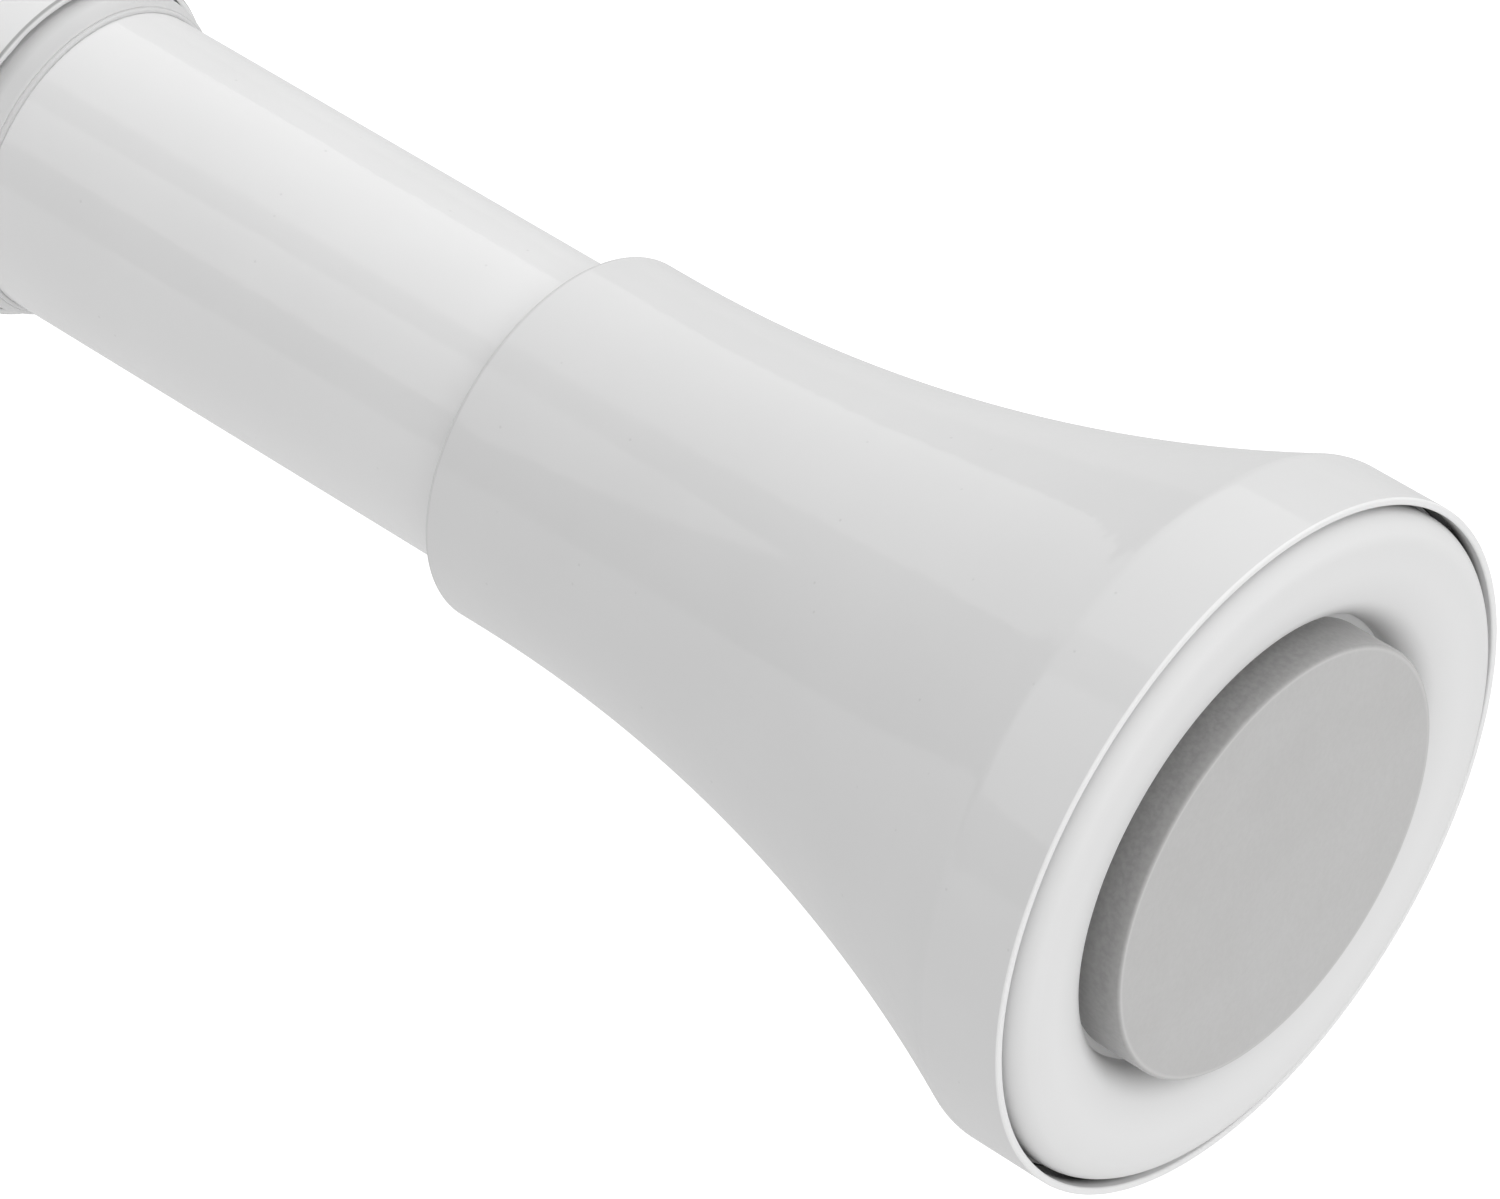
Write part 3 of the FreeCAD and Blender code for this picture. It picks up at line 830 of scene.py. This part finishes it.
def rubber(name):
    """Warm grey moulded rubber: matt, finely grained and flecked, a painted highlight inside its face's
    edge, a darker side with painted shade.
    """
    material, tree, surface, place = blank(name)
    surface.inputs["Specular IOR Level"].default_value = rubber_specular
    surface.inputs["Sheen Weight"].default_value = rubber_sheen
    surface.inputs["Sheen Roughness"].default_value = rubber_sheen_roughness
    cloud = waves(tree, place, rubber_clouds, 4.0)
    specks = grain(tree, place, rubber_specks, 3.0)
    fleck = between(tree, specks, 0.35, 0.65, 0.0, 1.0)
    base = tint(tree, cloud, grey(pad_cloud_dark, 0.009), grey(pad_cloud_pale, 0.006))
    flecked = between(tree, fleck, 0.0, 1.0, 0.0, pad_fleck_share)
    face = tint(tree, flecked, base, grey(pad_fleck_tone, 0.01))
    # Painted shade on the pad's side, deepening towards the well.
    back = between(tree, from_end(tree, place), pad_shade_start, pad_shade_full, 0.0, 1.0)
    plain = tint(tree, back, grey(pad_side_tone, 0.01), grey(pad_shade_tone, 0.008))
    dusty = between(tree, fleck, 0.0, 1.0, 0.0, pad_dust_share)
    side = tint(tree, dusty, plain, grey(pad_dust_tone, 0.01))
    radius = across(tree, place, "LENGTH")
    # Painted highlight inside the edge of the pad's face.
    edge_highlight = between(tree, radius, pad_radius - pad_highlight_start, pad_radius - pad_highlight_full, 0.0, 1.0)
    edged = tint(tree, edge_highlight, face, grey(pad_highlight_tone, 0.008))
    share = between(tree, radius, pad_radius - pad_edge_round, pad_radius - pad_side_start, 0.0, 1.0)
    tree.links.new(tint(tree, share, edged, side), surface.inputs["Base Color"])
    gloss = between(tree, cloud, 0.0, 1.0, rubber_smooth, rubber_rough)
    tree.links.new(gloss, surface.inputs["Roughness"])
    relief(tree, surface, [(specks, rubber_depth), (cloud, rubber_depth)])
    return material


def steel(name, colour, darker, roughness):
    """Plated or oiled steel, with fine marks drawn along the rod."""
    material, tree, surface, place = blank(name)
    surface.inputs["Metallic"].default_value = 1.0
    marks = waves(tree, stretched(tree, place, steel_marks_along), steel_marks, 3.0)
    tree.links.new(tint(tree, marks, darker, colour), surface.inputs["Base Color"])
    gloss = between(tree, marks, 0.0, 1.0, roughness * 0.8, roughness * 1.2)
    tree.links.new(gloss, surface.inputs["Roughness"])
    relief(tree, surface, [(marks, steel_marks_depth)])
    return material


def dress(piece, body, node, material):
    """Gives a piece its finish and its body, and hides the node that it stands for."""
    piece.data.materials.append(material)
    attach(piece, body)
    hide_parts(node)


def end_fittings(name, end, place, tube_bore, tube_radius, finishes):
    """Bell, foot and pad at one end of the rod, on the body that the end is named after."""
    bell = lathe("bell_" + name, place(bell_outline()), fine_steps)
    dress(bell, end, end + "_bell", finishes["bell"])
    plate = foot("foot_" + name, foot_outline(tube_bore, tube_radius), place)
    dress(plate, end, end + "_foot", finishes["foot"])
    pad = lathe("pad_" + name, place(pad_outline()), fine_steps)
    dress(pad, end, end + "_pad", finishes["rubber"])


def rod(finishes):
    """Tubes, collar, spring and end fittings."""
    large = lathe("tube_large", outer_tube_outline(), tube_steps, ragged_mouth)
    dress(large, "outer", "outer_tube", finishes["mouth"])
    small = lathe("tube_small", inner_tube_outline(), tube_steps)
    dress(small, "inner", "inner_tube", finishes["tube"])
    collar = lathe("collar", collar_outline(), tube_steps)
    dress(collar, "outer", "mouth_collar", finishes["collar"])
    spring = coil("spring_coil")
    dress(spring, "inner", "main_spring", finishes["spring"])
    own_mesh(spring)
    end_fittings("large_end", "outer", at_near_end, outer_tube_bore, outer_tube_radius, finishes)
    end_fittings("small_end", "inner", at_far_end, inner_tube_bore, inner_tube_radius, finishes)


def inner_works(finishes):
    """Finishes of the hidden pieces that keep their own shape."""
    chosen = {
        "nylon": ("neck_bush", "guide_bush", "spring_stop", "piston"),
        "black": ("lock_core",),
        "ring": ("cam_ring",),
        "zinc": ("plunger_rod", "lock_washer", "lock_screw", "back_washer", "front_washer"),
        "spring": ("piston_clip",),
    }
    for finish, nodes in chosen.items():
        for node in nodes:
            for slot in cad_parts[node].material_slots:
                slot.material = finishes[finish]


def all_finishes():
    """Every material, by the name that the pieces ask for."""
    return {
        "tube": powder_coat("tube_coat", tube_tone, tube_shine),
        "mouth": mouth_coat("mouth_coat", tube_tone, tube_shine),
        "bell": bell_coat("bell_coat", bell_tone, bell_shine),
        "collar": milky("collar_milky"),
        "foot": plate_satin("foot_satin", grey(0.885), grey(0.875)),
        "rubber": rubber("pad_rubber"),
        "nylon": moulded("inner_nylon", grey(0.78, 0.01), grey(0.74, 0.01), 0.45, 0.006 * mm),
        "black": moulded("lock_black", grey(0.035), grey(0.025), 0.5, 0.01 * mm),
        "ring": moulded("ring_plastic", grey(0.70, 0.02), grey(0.66, 0.02), 0.55, 0.01 * mm),
        "zinc": steel("zinc_plate", grey(0.66, -0.01), grey(0.52, -0.01), 0.36),
        "spring": steel("spring_wire", grey(0.33), grey(0.24), 0.35),
    }


def light_panel(name, centre, size, turn, radiance):
    """Rectangular light that faces down before it is turned, with its brightness given as radiance."""
    light = bpy.data.lights.new(name, "AREA")
    light.shape = "RECTANGLE"
    light.size = size[0]
    light.size_y = size[1]
    light.energy = radiance * math.pi * size[0] * size[1]
    lamp = bpy.data.objects.new(name, light)
    lamp.location = centre
    lamp.rotation_euler = turn
    lamp.visible_camera = False
    bpy.context.scene.collection.objects.link(lamp)


def sky():
    """Light of a pale sky above the horizon and of a pale ground below it.

    Seen directly, both are as pale as the floor.
    """
    world = bpy.data.worlds.new("studio")
    world.use_nodes = True
    tree = world.node_tree
    ray = tree.nodes.new("ShaderNodeSeparateXYZ")
    tree.links.new(tree.nodes.new("ShaderNodeTexCoord").outputs["Generated"], ray.inputs["Vector"])
    above = between(tree, ray.outputs["Y"], sky_dark_y, 1.0, 0.0, sky_back)
    below = between(tree, ray.outputs["Y"], -1.0, 1.0, ground_front, ground_back)
    light = tree.nodes.new("ShaderNodeMix")
    share = between(tree, ray.outputs["Z"], -horizon_edge, 0.0, 1.0, 0.0)
    tree.links.new(share, light.inputs["Factor"])
    tree.links.new(above, light.inputs["A"])
    tree.links.new(below, light.inputs["B"])
    seen = shader(tree, "Mix", B=floor_glow)
    tree.links.new(tree.nodes.new("ShaderNodeLightPath").outputs["Is Camera Ray"], seen.inputs["Factor"])
    tree.links.new(light.outputs["Result"], seen.inputs["A"])
    tree.links.new(seen.outputs["Result"], tree.nodes["Background"].inputs["Strength"])
    tree.nodes["Background"].inputs["Color"].default_value = (1.0, 1.0, 1.0, 1.0)
    bpy.context.scene.world = world


def floor():
    """Plain white floor, well below the rod. It is only looked at: the sky gives the ground's light."""
    half = floor_width / 2
    middle = (near_rim_x + far_rim_x) / 2
    square = ((-half, -half), (half, -half), (half, half), (-half, half))
    corners = [(middle + x, y, -floor_depth) for x, y in square]
    mesh = bpy.data.meshes.new("floor")
    mesh.from_pydata(corners, [], [range(4)])
    material = bpy.data.materials.new("floor_pale")
    material.use_nodes = True
    surface = material.node_tree.nodes["Principled BSDF"]
    surface.inputs["Base Color"].default_value = (*grey(floor_albedo), 1.0)
    surface.inputs["Specular IOR Level"].default_value = 0.0
    surface.inputs["Roughness"].default_value = 1.0
    surface.inputs["Emission Color"].default_value = (1.0, 1.0, 1.0, 1.0)
    surface.inputs["Emission Strength"].default_value = floor_glow
    mesh.materials.append(material)
    ground = bpy.data.objects.new("floor", mesh)
    ground.visible_diffuse = False
    ground.visible_glossy = False
    ground.visible_shadow = False
    bpy.context.scene.collection.objects.link(ground)


def studio():
    """Sky, floor, two ceiling panels and a soft light beyond the rod's far end."""
    bpy.context.scene.view_settings.view_transform = "Standard"
    sky()
    floor()
    light_panel(
        "panel_wide",
        centre=(1.74, 0.591, 0.957),
        size=(8.71, 1.84),
        turn=(-0.066, 0.0, -0.09),
        radiance=0.933,
    )
    light_panel(
        "panel_front",
        centre=(0.93, -1.465, 0.867),
        size=(3.19, 2.295),
        turn=(-0.033, 0.0, 0.115),
        radiance=1.069,
    )
    light_panel(
        "panel_end",
        centre=(2.2, 0.0, 0.1),
        size=(0.35, 0.5),
        turn=(0.0, math.pi / 2, 0.0),
        radiance=3.7,
    )


def camera():
    """Camera at the photograph's viewing angle."""
    side, rise = camera_azimuth, camera_elevation
    back = Vector((math.sin(side) * math.cos(rise), -math.cos(side) * math.cos(rise), math.sin(rise)))
    right = Vector((math.cos(side), math.sin(side), 0.0))
    up = back.cross(right)
    lens = bpy.data.cameras.new("camera")
    lens.sensor_width = camera_sensor
    lens.lens = camera_lens
    lens.clip_start = camera_near
    made = bpy.data.objects.new("camera", lens)
    bpy.context.scene.collection.objects.link(made)
    made.matrix_world = Matrix.Translation(camera_place) @ Matrix((right, up, back)).transposed().to_4x4()
    bpy.context.scene.camera = made


finishes = all_finishes()
rod(finishes)
inner_works(finishes)
studio()
camera()
